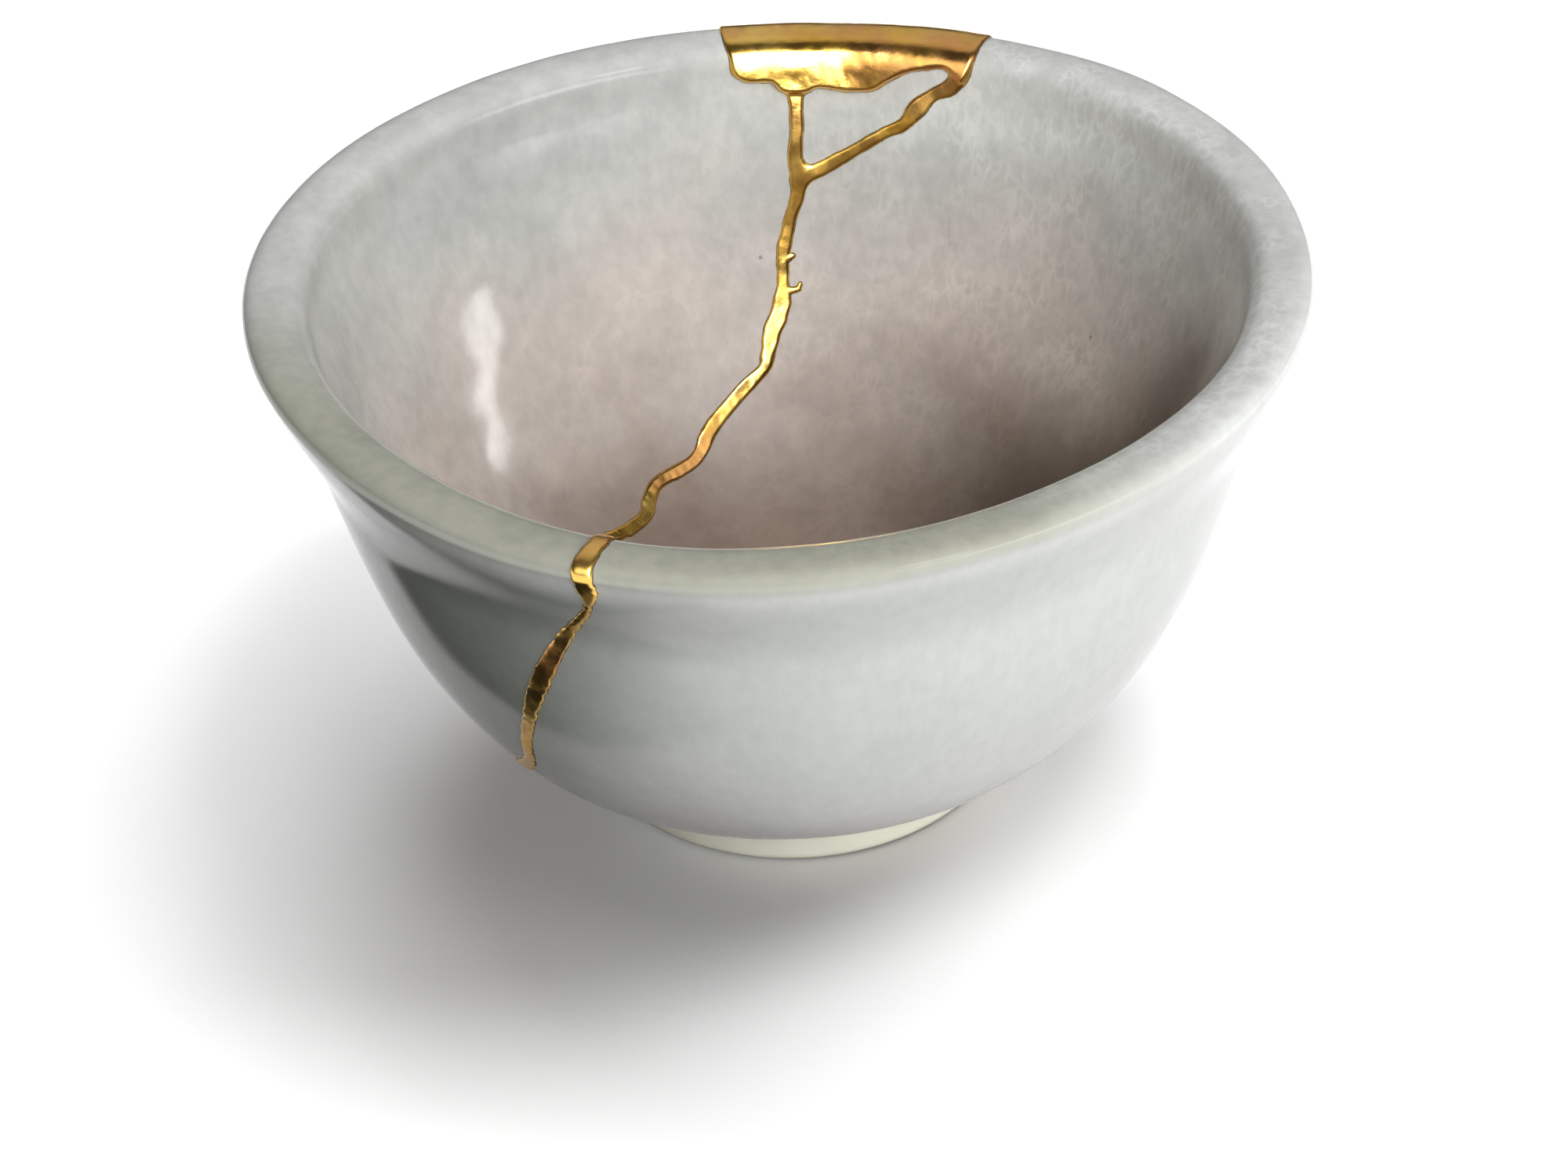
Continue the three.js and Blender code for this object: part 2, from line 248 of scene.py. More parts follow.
def soft_waves(seed, wavelength, count=28):
    """A gentle random swell, about 1 at its highest, as a function of points in space."""
    rng = np.random.default_rng(seed)
    ways = rng.normal(size=(count, 3))
    ways /= np.linalg.norm(ways, axis=1)[:, None]
    ways *= (2 * math.pi / (wavelength * rng.uniform(*WAVE_SPREAD, count)))[:, None]
    starts = rng.uniform(0, 2 * math.pi, count)
    return lambda points: np.cos(points @ ways.T + starts).sum(1) * math.sqrt(0.5 / count)


def swing(waves, azimuth):
    """How far a wobble pushes the wall outward at an azimuth in radians."""
    out = 0
    for count, size, towards in waves:
        out = out + size * MM * np.cos(count * (azimuth - math.radians(towards)))
    return out


broad_swell = soft_waves(11, 26 * MM)
small_swell = soft_waves(12, 7 * MM)
gold_swell = soft_waves(21, 5 * MM)
gold_grain = soft_waves(22, 1.6 * MM)
edge_creep = soft_waves(23, 2.6 * MM)


def thrown(rows, azimuth, height=0.0):
    """Places section rows round the bowl, with the unevenness of hand throwing.

    rows are (radius, height, normal's radius part, normal's height part), azimuth is in degrees, and
    height is how far the point stands off the glaze.
    """
    angle = np.radians(azimuth)
    radius, z = rows[:, 0], rows[:, 1]
    plain = np.column_stack([radius * np.cos(angle), radius * np.sin(angle), z])
    rings = np.sin(2 * math.pi * (z + angle * RING_PITCH / (2 * math.pi)) / RING_PITCH)
    in_the_wall = smooth(z, *RINGS_COME_IN) * (1 - smooth(z, *RINGS_GO_OUT)) * (rows[:, 2] < 0)
    relief = BROAD_SWELL * broad_swell(plain) + SMALL_SWELL * small_swell(plain)
    relief = relief * smooth(z, *SWELLS_COME_IN) + RING_DEPTH * rings * in_the_wall
    out = relief + height
    radius = radius + rows[:, 2] * out
    z = z + rows[:, 3] * out
    rim_share = smooth(z, *RIM_HEIGHTS)
    belly_share = smooth(z, *BELLY_HEIGHTS) * (1 - rim_share)
    lean = swing(RIM_WOBBLE, angle) * rim_share + swing(BELLY_WOBBLE, angle) * belly_share
    radius = radius + lean * np.clip(radius / STEADY_RADIUS, 0, 1)
    return np.column_stack([radius * np.cos(angle), radius * np.sin(angle), z])


# ---------------------------------------------------------------- lines on the wall's map
def flowing(points, parts=4):
    """A smooth line through points: each stretch is drawn in parts that follow its neighbours."""
    points = np.array(points, float)
    ends = np.vstack([2 * points[0] - points[1], points, 2 * points[-1] - points[-2]])
    t = np.linspace(0, 1, parts, endpoint=False)[:, None]
    out = []
    for a, b, c, d in zip(ends, ends[1:], ends[2:], ends[3:]):
        out.append(b + 0.5 * t * (c - a + t * (2 * a - 5 * b + 4 * c - d + t * (3 * (b - c) + d - a))))
    return np.vstack(out + [points[-1:]])


def in_metres(points):
    """Map points given as (degrees, mm) or (degrees, mm, mm), with their lengths in metres."""
    return np.array(points, float) * ([1, MM, MM] if len(points[0]) == 3 else [1, MM])


class MapPoints:
    """Points on the wall's map, and their distances to lines drawn on it."""

    def __init__(self, wall, azimuth, distance):
        self.azimuth, self.distance = azimuth, distance
        self.scale = wall.per_degree(distance)

    def to_line(self, line):
        """Distance to a line, less half its width there where it has a width."""
        best = np.full(len(self.azimuth), np.inf)
        for a, b in zip(line, line[1:]):
            ax, ay = (a[0] - self.azimuth) * self.scale, a[1] - self.distance
            dx, dy = (b[0] - a[0]) * self.scale, b[1] - a[1]
            t = np.clip(-(ax * dx + ay * dy) / (dx * dx + dy * dy), 0, 1)
            away = np.hypot(ax + t * dx, ay + t * dy)
            if len(a) == 3:
                away = away - (a[2] + t * (b[2] - a[2])) / 2
            best = np.minimum(best, away)
        return best

    def inside(self, outline):
        """Whether each point lies inside a closed outline."""
        crossings = np.zeros(len(self.azimuth), bool)
        for a, b in zip(outline, np.roll(outline, -1, axis=0)):
            spans = (a[1] > self.distance) != (b[1] > self.distance)
            rise = b[1] - a[1] if b[1] != a[1] else TINY
            meets = a[0] + (self.distance - a[1]) / rise * (b[0] - a[0])
            crossings ^= spans & (self.azimuth < meets)
        return crossings

    def into(self, outline):
        """Distance to a closed outline, above zero inside it."""
        closed = np.vstack([outline, outline[:1]])[:, :2]
        away = self.to_line(closed)
        return np.where(self.inside(outline), away, -away)


def melted(a, b, radius):
    """The lower of two distances, with the corner between them filled as thick lacquer fills it."""
    share = np.clip(0.5 + 0.5 * (b - a) / radius, 0, 1)
    return b + (a - b) * share - radius * share * (1 - share)


MAIN_LINE = flowing(in_metres(MAIN_BREAK))
BRANCH_LINE = flowing(in_metres(BRANCH_BREAK))
CHIP_LINE = flowing(in_metres(LOST_CHIP), 3)
TOP = ABOVE_THE_LIP * MM
FORK = int(np.argmin(np.hypot(
    MAIN_LINE[:, 0] - BRANCH_BREAK[0][0], MAIN_LINE[:, 1] / MM - BRANCH_BREAK[0][1],
)))
LEFT_OUTLINE = np.vstack([[MAIN_LINE[0, 0], TOP], MAIN_LINE[:, :2]])
RIM_OUTLINE = np.vstack([
    [MAIN_LINE[0, 0], TOP], MAIN_LINE[: FORK + 1, :2], BRANCH_LINE[:, :2], [BRANCH_LINE[-1, 0], TOP],
])


# ---------------------------------------------------------------- cutting pieces out of the map
LEAST_VALUE = 0.01 * MM  # values nearer to zero are moved out to it, so that no cut leaves a sliver


class Net:
    """A net over the wall's map, whose cells are cut along the lines where a value is zero."""

    def __init__(self, wall, azimuths, reaches, closed):
        columns, rows = len(azimuths), len(reaches)
        self.azimuth = np.tile(azimuths, rows)
        self.reach = np.repeat(reaches, columns)
        self.points = MapPoints(wall, self.azimuth, wall.distance_at(self.reach))
        across = np.arange(columns if closed else columns - 1)
        beside = (across + 1) % columns
        starts = np.arange(rows - 1)[:, None] * columns
        below = starts + columns
        corners = [starts + across, starts + beside, below + beside, below + across]
        self.cells = np.stack(corners, 2).reshape(-1, 4)

    def start(self, **values):
        """Begins a cutting: the map places, and values to carry to each new point, as lists."""
        carried = {"azimuth": self.azimuth, "reach": self.reach, **values}
        return {name: value.tolist() for name, value in carried.items()}


def cut_point(made, carried, name, a, b):
    """The point between two others where a value is zero, made once for the cells on both its sides."""
    low, high = min(a, b), max(a, b)
    if (low, high) not in made:
        value = carried[name]
        share = value[low] / (value[low] - value[high])
        made[low, high] = len(value)
        for other, series in carried.items():
            between = series[low] + share * (series[high] - series[low])
            series.append(0.0 if other == name else between)
    return made[low, high]


def trim(cells, carried, name):
    """Keeps what lies where a value is above zero. Gives the cells kept and the cut edges they end at."""
    value = carried[name]
    for i, x in enumerate(value):
        if abs(x) < LEAST_VALUE and x != 0.0:
            value[i] = math.copysign(LEAST_VALUE, x)
    made, kept, edges = {}, [], []
    for cell in cells:
        above = [value[i] > 0 for i in cell]
        if all(above):
            kept.append(tuple(cell))
            continue
        if not any(above):
            continue
        loop, doors = [], []
        for k, a in enumerate(cell):
            b = cell[(k + 1) % len(cell)]
            if value[a] > 0:
                loop.append(a)
            if (value[a] > 0) != (value[b] > 0):
                meeting = cut_point(made, carried, name, a, b)
                loop.append(meeting)
                doors.append((meeting, value[a] > 0))
        kept.append(tuple(loop))
        for k, (point, leaving) in enumerate(doors):
            if leaving:
                edges.append((point, doors[(k + 1) % len(doors)][0]))
    return kept, edges


def only_used(carried, *cell_lists):
    """Drops the map points that no cell or edge uses. Gives the places left, and the lists renumbered."""
    points = [np.fromiter((p for cell in cells for p in cell), int) for cells in cell_lists]
    used = np.unique(np.concatenate(points))
    renumber = np.full(len(carried["reach"]), -1)
    renumber[used] = np.arange(len(used))
    left = {name: np.array(series)[used] for name, series in carried.items()}
    return left, [[[int(renumber[p]) for p in cell] for cell in cells] for cells in cell_lists]


class Skin:
    """Gathers the points and faces of one piece's mesh."""

    def __init__(self):
        self.places, self.marks, self.faces = [], [], []
        self.flat, self.finish = [], []
        self.count = 0

    def add_points(self, places, **marks):
        """Adds points, with the values that they carry. Gives the number of the first."""
        first = self.count
        self.places.append(places)
        self.marks.append(marks)
        self.count += len(places)
        return first

    def add_faces(self, faces, flat=False, finish=0):
        """Adds faces, less any corner that repeats the one before it."""
        for face in faces:
            face = [p for k, p in enumerate(face) if p != face[k - 1]]
            if len(face) > 2:
                self.faces.append(face)
                self.flat.append(flat)
                self.finish.append(finish)

    def make(self, name, node_names, slot, *materials):
        """Makes the piece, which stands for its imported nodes."""
        places = np.vstack(self.places)
        used = np.unique(np.concatenate([np.array(face) for face in self.faces]))
        renumber = np.full(len(places), -1)
        renumber[used] = np.arange(len(used))
        mesh = bpy.data.meshes.new(name)
        mesh.from_pydata(places[used], [], [renumber[face].tolist() for face in self.faces])
        mesh.polygons.foreach_set("use_smooth", [not flat for flat in self.flat])
        for material in materials:
            mesh.materials.append(material)
        mesh.polygons.foreach_set("material_index", self.finish)
        for mark in self.marks[0]:
            values = np.concatenate([marks[mark] for marks in self.marks])[used]
            attribute = mesh.attributes.new(mark, "FLOAT", "POINT")
            attribute.data.foreach_set("value", values.astype(np.float32))
        mesh.update()
        piece = bpy.data.objects.new(name, mesh)
        bpy.context.scene.collection.objects.link(piece)
        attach(piece, "root")
        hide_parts(*node_names)
        return piece


AT_THE_CREST = 1e-9  # a reach this near to the lip's crest lies on it


def lay_both_sides(skin, wall, places, inner_height=0.0, outer_height=0.0, **marks):
    """Puts every map point on the inside and on the outside. They are one point at the lip's crest."""
    azimuth, reach = places["azimuth"], places["reach"]
    first = [
        skin.add_points(
            thrown(wall.section_at(reach, inner), azimuth, height),
            lip_reach=reach * (1 if inner else -1), **marks,
        )
        for inner, height in ((True, inner_height), (False, outer_height))
    ]
    inner = first[0] + np.arange(len(reach))
    outer = np.where(reach < AT_THE_CREST, inner, first[1] + np.arange(len(reach)))
    return inner, outer


def add_sides(skin, inner, outer, cells, turned_over=False, **faces):
    """The same cells on both sides of the wall, facing away from the clay or, turned over, into it."""
    inside = [[inner[p] for p in cell] for cell in cells]
    outside = [[outer[p] for p in reversed(cell)] for cell in cells]
    if turned_over:
        inside = [cell[::-1] for cell in inside]
        outside = [cell[::-1] for cell in outside]
    skin.add_faces(inside + outside, **faces)


# ---------------------------------------------------------------- the three sherds
ROUND_COLUMNS = 400
LIP_STEP = 0.4 * MM
WALL_STEP = 0.85 * MM
FOOT_STEP = 0.5 * MM
LIP_REACH = 8 * MM
FOOT_EDGE_POINTS = 7
ROUNDINGS_PER_EDGE = 2.2  # as many roundings as an edge under the bowl must have room for
RECESS_RADIUS = FOOT_RADIUS - FOOT_RING_WIDTH
# Under the bowl: the wall's foot, the foot ring's outside and flat, and its inside and recess.
FOOT_CORNERS = (
    FOOT_TOP, (FOOT_RADIUS + 0.25 * MM, 5 * MM), (FOOT_RADIUS - 0.1 * MM, 0),
    (RECESS_RADIUS + 0.2 * MM, 0), (RECESS_RADIUS - 0.5 * MM, RECESS_DEPTH - 1.4 * MM),
    (RECESS_RADIUS - 2.2 * MM, RECESS_DEPTH - 0.5 * MM), (0, RECESS_DEPTH),
)


def graded(end):
    """Distances down from the lip's crest, in fine steps over the lip and coarser ones below it."""
    near = np.linspace(0, LIP_REACH, round(LIP_REACH / LIP_STEP) + 1)
    far = np.linspace(LIP_REACH, end, round((end - LIP_REACH) / WALL_STEP) + 1)
    return np.concatenate([near, far[1:]])


def rounded_foot():
    """Section line under the bowl, from the wall's foot round the foot ring to the recess's middle."""
    corners = np.array(FOOT_CORNERS)
    line = [corners[0]]
    t = np.linspace(0, 1, FOOT_EDGE_POINTS)[:, None]
    for before, corner, after in zip(corners, corners[1:], corners[2:]):
        to_before, to_after = before - corner, after - corner
        length_before, length_after = np.linalg.norm(to_before), np.linalg.norm(to_after)
        room = min(FOOT_EDGE_ROUNDING, min(length_before, length_after) / ROUNDINGS_PER_EDGE)
        start = corner + to_before / length_before * room
        end = corner + to_after / length_after * room
        line += list((1 - t) ** 2 * start + 2 * (1 - t) * t * corner + t * t * end)
    line.append(corners[-1])
    return np.array(line)


def evenly(line, step):
    """Points on a line at even steps, about as long as step."""
    run = run_along(line)
    marks = np.linspace(0, run[-1], max(2, round(run[-1] / step) + 1))
    return np.column_stack([np.interp(marks, run, column) for column in line.T])


def with_normals(line):
    """Section rows for a line that runs down the outside towards the axis."""
    along = directions(line)
    return np.column_stack([line, -along[:, 1], along[:, 0]])


def turn_rows(skin, rows, above, azimuths, lip_reach, facing_down, clay_from=None):
    """Carries the main sherd on below the wall, row by row, to a point on the axis.

    The rows from clay_from on are bare clay, and the others are glazed.
    """
    columns = len(azimuths)
    across, beside = np.arange(columns), (np.arange(columns) + 1) % columns

    def close(loops, finish):
        """Adds one row of faces, turned the way that this side of the bowl faces."""
        skin.add_faces((loops[:, ::-1] if facing_down else loops).tolist(), finish=finish)

    for k, row in enumerate(rows[:-1]):
        places = thrown(np.tile(row, (columns, 1)), azimuths)
        below = skin.add_points(places, lip_reach=np.full(columns, lip_reach[k])) + across
        finish = int(clay_from is not None and k >= clay_from)
        close(np.stack([above[across], above[beside], below[beside], below[across]], 1), finish)
        above = below
    tip = skin.add_points(thrown(rows[-1:], np.zeros(1)), lip_reach=lip_reach[-1:])
    close(np.stack([above[across], above[beside], np.full(columns, tip)], 1), int(clay_from is not None))


def add_floor_and_foot(skin, wall, azimuths, inner, outer):
    """Closes the main sherd below its last points on the inside and on the outside of the wall."""
    floor = evenly(wall.floor_rows, WALL_STEP)[1:]
    depth = wall.reach[-1] + np.linspace(0, WALL_FOOT, len(floor))
    turn_rows(skin, floor, inner, azimuths, depth, facing_down=False)
    belly = evenly(wall.belly_rows[::-1], WALL_STEP)[1:-1, :2]
    foot = evenly(rounded_foot(), FOOT_STEP)
    under = with_normals(joined(np.vstack([belly, foot[:1]]), foot))
    depth = -wall.reach[-1] - run_along(under[:, :2])
    turn_rows(skin, under, outer, azimuths, depth, facing_down=True, clay_from=len(belly) + 1)


def make_sherds(wall, glaze, clay):
    """The three sherds, each a closed piece of the wall with its broken edges."""
    azimuths = np.linspace(0, 360, ROUND_COLUMNS, endpoint=False)
    reaches = graded(wall.reach[-1])
    net = Net(wall, azimuths, reaches, closed=True)
    chip = -net.points.into(CHIP_LINE) + GOLD_OVERLAP
    left = net.points.into(LEFT_OUTLINE)
    rim = net.points.into(RIM_OUTLINE)
    shares = {"main_sherd": np.minimum(-left, -rim), "left_sherd": left, "rim_sherd": rim}
    pieces = []
    for name, share in shares.items():
        skin = Skin()
        carried = net.start(kept=np.minimum(share - CRACK_HALF_WIDTH, chip))
        cells, edges = trim(net.cells.tolist(), carried, "kept")
        places, (cells, edges) = only_used(carried, cells, edges)
        inner, outer = lay_both_sides(skin, wall, places)
        add_sides(skin, inner, outer, cells)
        skin.add_faces([[inner[b], inner[a], outer[a], outer[b]] for a, b in edges], flat=True)
        if name == "main_sherd":
            last = np.where(np.isclose(places["reach"], reaches[-1]))[0]
            add_floor_and_foot(skin, wall, azimuths, inner[last], outer[last])
        pieces.append(skin.make("glazed_" + name, [name], "glaze", glaze, clay))
    return pieces


# ---------------------------------------------------------------- the gold
GOLD_COLUMN = 0.2  # degrees
GOLD_STEP = 0.2 * MM
GOLD_UNDERSIDE = -1.5 * GOLD_TUCK


def gold_extents(net):
    """Values on the map: above zero on the gold, beside the crack, and inside the lost chip."""
    points = net.points
    seam = melted(points.to_line(MAIN_LINE), points.to_line(BRANCH_LINE), SEAM_CORNER)
    for thorn in THORNS:
        seam = np.minimum(seam, points.to_line(in_metres(thorn)))
    seam = seam - GOLD_SPREAD
    chip = -points.into(CHIP_LINE)
    spots = np.column_stack([net.azimuth * points.scale, net.reach, 0 * net.reach])
    creep = EDGE_CREEP * edge_creep(spots)
    cover = -(melted(seam, chip, FILL_CORNER) + creep)
    crack = melted(seam + GOLD_SPREAD, chip, CRACK_CORNER) + GOLD_OVERLAP + creep
    return cover, crack, -chip


def gold_heights(places, edge):
    """How far the gold's face stands off the glaze: inside, where the fill bulges, and outside."""
    depth = places["cover"]
    shoulder = 1 - np.clip(depth / GOLD_SHOULDER, 0, 1)
    rise = GOLD_PROUD * np.sqrt(np.clip(1 - shoulder ** 2, 0, 1))
    spots = np.column_stack([places["azimuth"] * MM, places["reach"], 0 * depth])
    lumps = GOLD_LUMPS * gold_swell(spots) + GOLD_GRAIN * gold_grain(spots)
    rise = np.where(edge, -GOLD_TUCK, rise + lumps * (1 - shoulder))
    bulge = FILL_BULGE * smooth(places["reach"], *BULGE_DOWN) * smooth(places["chip"], *BULGE_IN)
    return rise + bulge, rise


def make_gold(wall, gold):
    """The gold: the fill of the lost chip and the seams, in one body that goes through the wall."""
    azimuths = np.arange(NO_BREAKS_BELOW, NO_BREAKS_ABOVE, GOLD_COLUMN)
    reaches = np.linspace(0, wall.reach[-1], round(wall.reach[-1] / GOLD_STEP) + 1)
    net = Net(wall, azimuths, reaches, closed=False)
    cover, crack, chip = gold_extents(net)
    carried = net.start(cover=cover, crack=crack, chip=chip)
    near = net.cells[(cover[net.cells] > 0).any(1)]
    cells, _ = trim(near.tolist(), carried, "cover")
    lapped, joints = trim(cells, carried, "crack")
    places, (cells, lapped, joints) = only_used(carried, cells, lapped, joints)
    depth = places["cover"]
    edge = np.abs(depth) < TINY
    skin = Skin()
    inner, outer = lay_both_sides(skin, wall, places, *gold_heights(places, edge), gold_depth=depth)
    under_inner, under_outer = lay_both_sides(
        skin, wall, places, GOLD_UNDERSIDE, GOLD_UNDERSIDE, gold_depth=depth,
    )
    under_inner = np.where(edge, inner, under_inner)
    under_outer = np.where(edge, outer, under_outer)
    add_sides(skin, inner, outer, cells)
    add_sides(skin, under_inner, under_outer, lapped, turned_over=True, flat=True)
    through = [[under_inner[a], under_inner[b], under_outer[b], under_outer[a]] for a, b in joints]
    skin.add_faces(through, flat=True)
    return skin.make("gold_mend", GILT, "gold", gold)


# ---------------------------------------------------------------- finishes
def node(tree, kind, inputs=None, **settings):
    """Adds a shader node. Inputs are set, or linked where a socket is given."""
    made = tree.nodes.new("ShaderNode" + kind)
    for name, value in settings.items():
        setattr(made, name, value)
    for name, value in (inputs or {}).items():
        if isinstance(value, bpy.types.NodeSocket):
            tree.links.new(value, made.inputs[name])
        else:
            made.inputs[name].default_value = value
    return made


def sums(tree, operation, *values):
    """One sum on values: ADD, SUBTRACT, MULTIPLY or ABSOLUTE."""
    return node(tree, "Math", dict(enumerate(values)), operation=operation).outputs[0]


def fade(tree, value, low, high, to_low=0.0, to_high=1.0):
    """Goes smoothly from one value to another as the first one goes from low to high."""
    ends = {"Value": value, "From Min": low, "From Max": high, "To Min": to_low, "To Max": to_high}
    return node(tree, "MapRange", ends, interpolation_type="SMOOTHSTEP").outputs[0]


def blend(tree, share, below, above, how="MIX"):
    """Mixes two colours."""
    return node(tree, "Mix", {0: share, 6: below, 7: above}, data_type="RGBA", blend_type=how).outputs[2]


def times(tree, *values):
    """The product of several values."""
    product = values[0]
    for value in values[1:]:
        product = sums(tree, "MULTIPLY", product, value)
    return product


def vectors(tree, operation, *values):
    """One sum on vectors."""
    return node(tree, "VectorMath", dict(enumerate(values)), operation=operation).outputs[0]


def on_object(tree, stretch=None):
    """The place on the object in metres, or stretched along its axes."""
    place = node(tree, "TexCoord").outputs["Object"]
    return vectors(tree, "MULTIPLY", place, stretch) if stretch else place


def level_distance(tree, place, right, back):
    """Distance along a level direction, given by its shares to the right and to the back."""
    return sums(tree, "ADD", times(tree, place["X"], right), times(tree, place["Y"], back))


def mixed(tree, share, below, above):
    """Mixes two plain values."""
    return node(tree, "Mix", {0: share, 2: below, 3: above}, data_type="FLOAT").outputs[0]


def grey(tree, level):
    """A grey of a level that varies."""
    return node(tree, "CombineColor", {0: level, 1: level, 2: level}).outputs[0]


NOISE_RANGE = (0.3, 0.7)  # between which a noise mostly lies


def noise(tree, place, detail, roughness=0.5):
    """A drifting noise, about one patch to each unit of place."""
    settings = {"Vector": place, "Scale": 1.0, "Detail": detail, "Roughness": roughness}
    return node(tree, "TexNoise", settings).outputs


def cell_net(tree, place, scale, feature="F1"):
    """A net of uneven cells."""
    settings = {"Vector": place, "Scale": scale, "Randomness": 1.0}
    return node(tree, "TexVoronoi", settings, feature=feature).outputs


def shader_group(name, inputs, outputs):
    """An empty node group with its sockets, and its inner input and output nodes."""
    group = bpy.data.node_groups.new(name, "ShaderNodeTree")
    for direction, sockets in (("INPUT", inputs), ("OUTPUT", outputs)):
        for socket in sockets:
            group.interface.new_socket(name=socket, in_out=direction, socket_type="NodeSocketFloat")
    return group, group.nodes.new("NodeGroupInput"), group.nodes.new("NodeGroupOutput")


def clouding():
    """Cloudy patches: a value that drifts between Low and High over patches of a given size in metres."""
    group, given, out = shader_group("clouding", ("Size", "Low", "High", "Shift"), ("Value",))
    scaled = vectors(group, "DIVIDE", on_object(group), given.outputs["Size"])
    moved = vectors(group, "ADD", scaled, given.outputs["Shift"])
    cloud = noise(group, moved, detail=3.0, roughness=0.55)
    value = fade(group, cloud["Fac"], *NOISE_RANGE, given.outputs["Low"], given.outputs["High"])
    group.links.new(value, out.inputs["Value"])
    return group


def pitting():
    """A fine uneven surface: its height in metres, for grains of a given size and depth."""
    group, given, out = shader_group("pitting", ("Size", "Depth"), ("Height",))
    scaled = vectors(group, "DIVIDE", on_object(group), given.outputs["Size"])
    grain = noise(group, scaled, detail=2.0)
    group.links.new(times(group, grain["Fac"], given.outputs["Depth"]), out.inputs["Height"])
    return group


CLOUDING = clouding()
PITTING = pitting()


def clouds(tree, size, low, high, shift=0.0):
    """A material's own clouding."""
    made = node(tree, "Group", node_tree=CLOUDING)
    for name, value in (("Size", size), ("Low", low), ("High", high), ("Shift", shift)):
        made.inputs[name].default_value = value
    return made.outputs["Value"]


def pits(tree, size, depth):
    """A material's own pitting."""
    made = node(tree, "Group", node_tree=PITTING)
    made.inputs["Size"].default_value = size
    made.inputs["Depth"].default_value = depth
    return made.outputs["Height"]


def raised(tree, height):
    """The normal of a surface with this height in metres."""
    return node(tree, "Bump", {"Strength": 1.0, "Distance": 1.0, "Height": height}).outputs["Normal"]


def new_material(name):
    """A material with its node tree and its shader."""
    material = bpy.data.materials.new(name)
    material.use_nodes = True
    tree = material.node_tree
    tree.nodes.clear()
    shader = tree.nodes.new("ShaderNodeBsdfPrincipled")
    output = tree.nodes.new("ShaderNodeOutputMaterial")
    tree.links.new(shader.outputs["BSDF"], output.inputs["Surface"])
    return material, tree, shader


def finish(tree, shader, color, roughness, normal, **plain):
    """Links what varies over the surface to the shader, and sets the plain values on it."""
    tree.links.new(color, shader.inputs["Base Color"])
    tree.links.new(roughness, shader.inputs["Roughness"])
    tree.links.new(normal, shader.inputs["Normal"])
    for name, value in plain.items():
        shader.inputs[name.replace("_", " ")].default_value = value


GLAZE_OUTSIDE = (0.57, 0.585, 0.565, 1)
GLAZE_INSIDE = (0.55, 0.56, 0.535, 1)
GLAZE_LIP = (0.41, 0.415, 0.345, 1)
GLAZE_CREST = (0.68, 0.69, 0.67, 1)
GLAZE_PINK = (0.69, 0.615, 0.565, 1)
GLAZE_BROWN = (0.36, 0.275, 0.225, 1)
# Painted shadow: the near-black of the shaded near right inside.
GLAZE_PAINTED_SHADOW = (0.10, 0.074, 0.052, 1)
GLAZE_BLUSH = (0.63, 0.605, 0.59, 1)
# Painted shade: the dark green-grey of the outside on the left.
GLAZE_PAINTED_SHADE = (0.30, 0.315, 0.28, 1)
IRON_SPECK = (0.10, 0.07, 0.05, 1)


# Cloudy patches of the glaze: (size, lowest, highest, shift). Its pits: (size, depth).
LEVEL_DRIFT = (22 * MM, -5 * MM, 5 * MM)
BROAD_MOTTLE = (9 * MM, -0.06, 0.05, 5.0)
FINE_MOTTLE = (2.4 * MM, -0.05, 0.05, 9.0)
CRACKLE_PATCHES = (6 * MM, 0.1, 1.0, 3.0)
GLAZE_ROUGHNESS = (6 * MM, 0.08, 0.13, 7.0)
GLAZE_PITS = (1.6 * MM, 0.006 * MM)

# Level directions, as shares to the right and to the back.
TO_RIGHT_BACK = (0.6, 0.8)
TO_RIGHT = (1.0, 0.45)
TO_FRONT = (-0.4, -1.0)

# Fades are (from, to), or (from, to, value there, value here). Levels are heights on the bowl, X is the
# place from left to right, and reaches are from the lip's crest, above zero inside.
INSIDE_REACH = (-1 * MM, 1 * MM)
PINK_LEVEL = (60 * MM, 28 * MM)
BROWN_LEVEL = (34 * MM, 12 * MM)
BLUSH_LEVEL = (36 * MM, 12 * MM)
# Where the painted shadow lies: low inside, on the right and towards the front.
PAINTED_SHADOW_LEVEL = (70 * MM, 42 * MM)
PAINTED_SHADOW_X = (6 * MM, 33 * MM)
PAINTED_SHADOW_RIGHT_BACK = (46 * MM, 31 * MM)
# Where the painted shade lies outside: below the lip, on the left, partway up.
PAINTED_SHADE_REACH = (-5 * MM, -9 * MM)
PAINTED_SHADE_TO_RIGHT = (-34 * MM, -52 * MM)
PAINTED_SHADE_LEVEL = (20 * MM, 38 * MM)
CREST_REACH = (7 * MM, 2 * MM)
LIP_TINT_OUTSIDE = (-4.5 * MM, -0.5 * MM)
LIP_TINT_INSIDE = (7 * MM, 3 * MM)
LIP_TINT_FRONT = (16 * MM, 48 * MM, 0.04, 1.0)

# Painted shade and light from side to side: darker to the left, lighter to the right.
PAINTED_SHADE_OUTSIDE_X = (10 * MM, -50 * MM, 1.03, 0.86)
PAINTED_SHADE_LEFT_X = (8 * MM, -38 * MM, 1.0, 0.88)
PAINTED_LIGHT_RIGHT_X = (5 * MM, 38 * MM, 1.0, 1.12)
PAINTED_SHADING_HIGH_LEVEL = (50 * MM, 62 * MM)
PAINTED_SHADING_HIGH_X = (40 * MM, -40 * MM, 0.16, -0.13)
FLECK_CELLS = (900, 900, 330)  # in a metre, along the three axes
FLECK_TONE = (0.975, 1.02)
MOTTLE_INSIDE = (0.0, 1.0, 0.4, 1.0)

